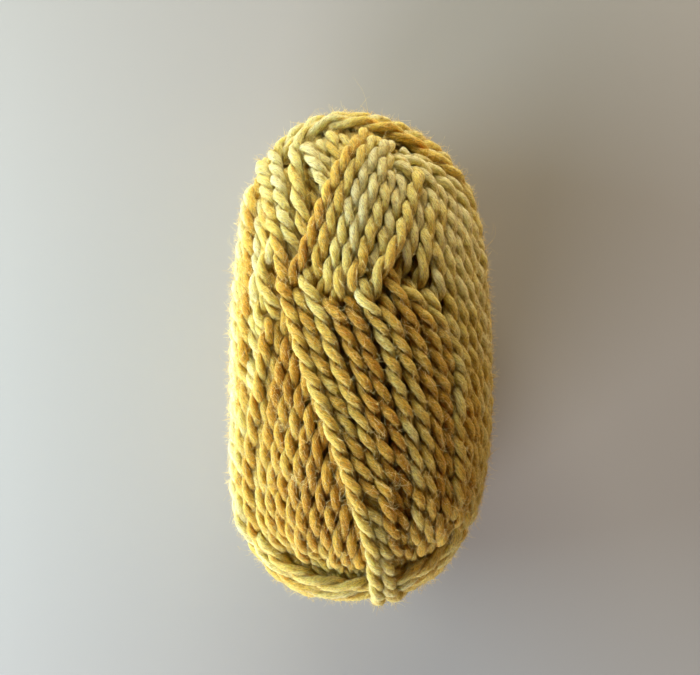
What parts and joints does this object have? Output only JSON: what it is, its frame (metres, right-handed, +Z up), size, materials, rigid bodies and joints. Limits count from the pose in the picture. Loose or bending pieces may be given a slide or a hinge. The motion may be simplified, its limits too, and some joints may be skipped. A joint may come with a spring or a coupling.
{
  "type": "ball of wool yarn",
  "caption": "Oval ball of chunky two-ply wool yarn, wound with crossing strands over its front and strands wrapped round both ends.",
  "frame": {"origin": "middle of the flat spot on the underside that the ball rests on", "axes": "+Y along the ball towards its narrow end, +X to the right seen from above, +Z up"},
  "size_m": [0.0789, 0.1436, 0.0715],
  "materials": {
    "wool": "matt, slightly hairy two-ply wool, dyed unevenly from pale straw to mustard"
  },
  "bodies": {
    "root": {"yarn_ball": "wool"}
  },
  "joints": []
}
